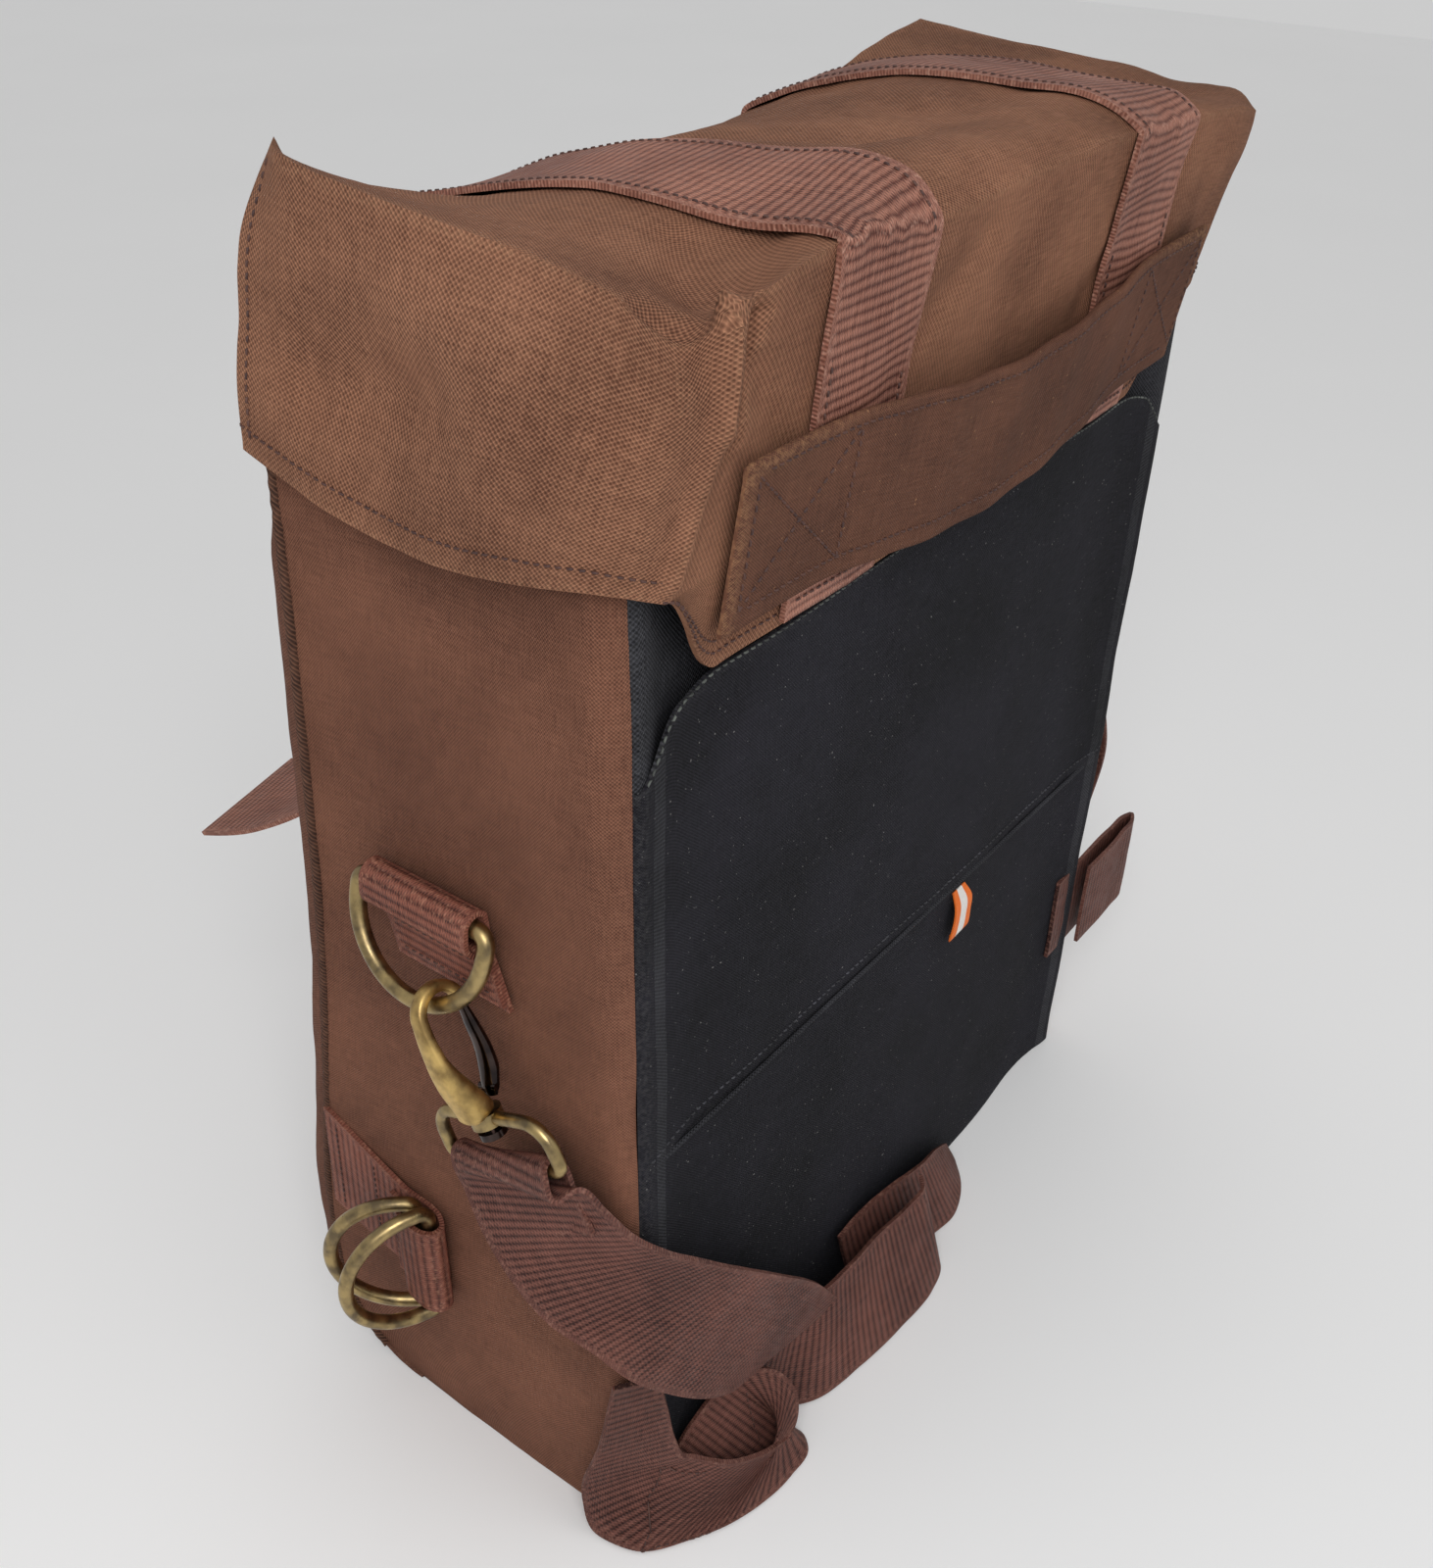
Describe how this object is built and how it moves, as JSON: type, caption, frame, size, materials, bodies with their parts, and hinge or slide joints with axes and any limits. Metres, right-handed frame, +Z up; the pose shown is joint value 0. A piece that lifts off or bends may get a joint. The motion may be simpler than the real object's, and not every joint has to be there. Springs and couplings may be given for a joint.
{
  "type": "saddlebag",
  "caption": "Canvas saddlebag with a deep cap lid, webbing lid straps, slip-over rack pocket, brass D rings and a shoulder strap on snap hooks.",
  "frame": {"origin": "on the floor plane under the middle of the bag", "axes": "+Z up, +Y out of the black rack side, +X out of the side that lies to the right when the lid's front faces the viewer"},
  "size_m": [0.478, 0.2894, 0.526],
  "materials": {
    "body_canvas": "heavy waxed cotton canvas, matt",
    "lid_canvas": "heavy cotton canvas, worn lighter",
    "piping": "twisted welt cord",
    "black_fabric": "black coated woven nylon",
    "webbing": "ribbed woven webbing with a slight sheen",
    "lining": "plain woven lining",
    "stiffener": "matt sheet",
    "tag": "woven ribbon, orange and white bands",
    "antique_brass": "antique brass plated steel",
    "dark_steel": "dark polished steel"
  },
  "bodies": {
    "bag": {"back_panel": "black_fabric", "back_stiffener": "stiffener", "base_stiffener": "stiffener", "bottom_panel": "body_canvas", "closure_tab_left": "webbing", "closure_tab_right": "webbing", "corner_loop_left": "webbing", "corner_loop_right": "webbing", "d_ring_tab_left": "webbing", "d_ring_tab_right": "webbing", "front_panel": "body_canvas", "front_piping_left": "piping", "front_piping_right": "piping", "inner_liner": "lining", "pocket_panel_lower": "black_fabric", "pocket_panel_upper": "black_fabric", "pocket_rim": "black_fabric", "rim_binding": "body_canvas", "ring_tab_left": "webbing", "ring_tab_right": "webbing", "seam_tag": "tag", "side_panel_left": "body_canvas", "side_panel_right": "body_canvas", "strap_back": "webbing", "strap_floor": "webbing", "strap_side_left": "webbing", "strap_side_right": "webbing"},
    "lid": {"carry_handle": "lid_canvas", "lid_back": "lid_canvas", "lid_front": "lid_canvas", "lid_side_left": "lid_canvas", "lid_side_right": "lid_canvas", "lid_strap_left": "webbing", "lid_strap_right": "webbing", "lid_top": "lid_canvas"},
    "closure_ring_inner_left": {"closure_ring_inner_left": "antique_brass"},
    "closure_ring_inner_right": {"closure_ring_inner_right": "antique_brass"},
    "closure_ring_outer_left": {"closure_ring_outer_left": "antique_brass"},
    "closure_ring_outer_right": {"closure_ring_outer_right": "antique_brass"},
    "d_ring_left": {"d_ring_left": "antique_brass"},
    "d_ring_right": {"d_ring_right": "antique_brass"},
    "snap_left": {"gate_pin_left": "dark_steel", "hook_body_left": "antique_brass", "swivel_rivet_left": "dark_steel"},
    "snap_right": {"gate_pin_right": "dark_steel", "hook_body_right": "antique_brass", "swivel_rivet_right": "dark_steel"},
    "gate_left": {"hook_gate_left": "dark_steel"},
    "gate_right": {"hook_gate_right": "dark_steel"},
    "clip_left": {"hook_loop_left": "antique_brass", "strap_end_left": "webbing"},
    "clip_right": {"hook_loop_right": "antique_brass", "strap_end_right": "webbing"},
    "ring_inner_left": {"ring_inner_left": "antique_brass"},
    "ring_inner_right": {"ring_inner_right": "antique_brass"},
    "ring_outer_left": {"ring_outer_left": "antique_brass"},
    "ring_outer_right": {"ring_outer_right": "antique_brass"}
  },
  "joints": [
    {"name": "lid_hinge", "type": "hinge", "parent": "bag", "child": "lid", "pos_m": [0, 0.088, 0.391], "axis": [-1, 0, 0], "range_deg": [0, 115]},
    {"name": "side_ring_swing_right", "type": "hinge", "parent": "bag", "child": "d_ring_right", "pos_m": [0.1961, 0.008, 0.297], "axis": [0, -1, 0], "range_deg": [0, 30]},
    {"name": "hook_loop_swing_right", "type": "hinge", "parent": "bag", "child": "clip_right", "pos_m": [0.1961, 0.008, 0.297], "axis": [0, -1, 0], "range_deg": [0, 30]},
    {"name": "hook_swivel_right", "type": "hinge", "parent": "clip_right", "child": "snap_right", "pos_m": [0.20527, 0.04659, 0.20854], "axis": [0, -0.4226, 0.9063], "range_deg": [-18, 18]},
    {"name": "hook_gate_right", "type": "hinge", "parent": "snap_right", "child": "gate_right", "pos_m": [0.19977, 0.03517, 0.23301], "axis": [0, 0.9063, 0.4226], "range_deg": [0, 20], "stiffness_Nm_per_rad": 0.05, "springref_deg": -20.05},
    {"name": "low_ring_inner_swing_right", "type": "hinge", "parent": "bag", "child": "ring_inner_right", "pos_m": [0.1961, -0.0166, 0.105], "axis": [0, 0, 1], "range_deg": [0, 70]},
    {"name": "low_ring_outer_swing_right", "type": "hinge", "parent": "bag", "child": "ring_outer_right", "pos_m": [0.1961, -0.01, 0.105], "axis": [0, 0, 1], "range_deg": [0, 70]},
    {"name": "closure_ring_inner_swing_right", "type": "hinge", "parent": "bag", "child": "closure_ring_inner_right", "pos_m": [0.092, -0.0803, 0.20593], "axis": [-1, 0, 0], "range_deg": [0, 4]},
    {"name": "closure_ring_outer_swing_right", "type": "hinge", "parent": "bag", "child": "closure_ring_outer_right", "pos_m": [0.092, -0.08682, 0.20694], "axis": [-1, 0, 0], "range_deg": [0, 105]},
    {"name": "side_ring_swing_left", "type": "hinge", "parent": "bag", "child": "d_ring_left", "pos_m": [-0.1961, 0.008, 0.297], "axis": [0, 1, 0], "range_deg": [0, 30]},
    {"name": "hook_loop_swing_left", "type": "hinge", "parent": "bag", "child": "clip_left", "pos_m": [-0.1961, 0.008, 0.297], "axis": [0, 1, 0], "range_deg": [0, 30]},
    {"name": "hook_swivel_left", "type": "hinge", "parent": "clip_left", "child": "snap_left", "pos_m": [-0.20527, 0.04659, 0.20854], "axis": [0, 0.4226, -0.9063], "range_deg": [-18, 18]},
    {"name": "hook_gate_left", "type": "hinge", "parent": "snap_left", "child": "gate_left", "pos_m": [-0.19977, 0.03517, 0.23301], "axis": [0, -0.9063, -0.4226], "range_deg": [0, 20], "stiffness_Nm_per_rad": 0.05, "springref_deg": -20.05},
    {"name": "low_ring_inner_swing_left", "type": "hinge", "parent": "bag", "child": "ring_inner_left", "pos_m": [-0.1961, -0.0166, 0.105], "axis": [0, 0, -1], "range_deg": [0, 70]},
    {"name": "low_ring_outer_swing_left", "type": "hinge", "parent": "bag", "child": "ring_outer_left", "pos_m": [-0.1961, -0.01, 0.105], "axis": [0, 0, -1], "range_deg": [0, 70]},
    {"name": "closure_ring_inner_swing_left", "type": "hinge", "parent": "bag", "child": "closure_ring_inner_left", "pos_m": [-0.092, -0.0803, 0.20593], "axis": [-1, 0, 0], "range_deg": [0, 4]},
    {"name": "closure_ring_outer_swing_left", "type": "hinge", "parent": "bag", "child": "closure_ring_outer_left", "pos_m": [-0.092, -0.08682, 0.20694], "axis": [-1, 0, 0], "range_deg": [0, 105]}
  ],
  "couplings": [
    {"joint": "hook_loop_swing_right", "follows": "side_ring_swing_right", "ratio": 1},
    {"joint": "low_ring_outer_swing_right", "follows": "low_ring_inner_swing_right", "ratio": 1},
    {"joint": "hook_loop_swing_left", "follows": "side_ring_swing_left", "ratio": 1},
    {"joint": "low_ring_outer_swing_left", "follows": "low_ring_inner_swing_left", "ratio": 1}
  ]
}
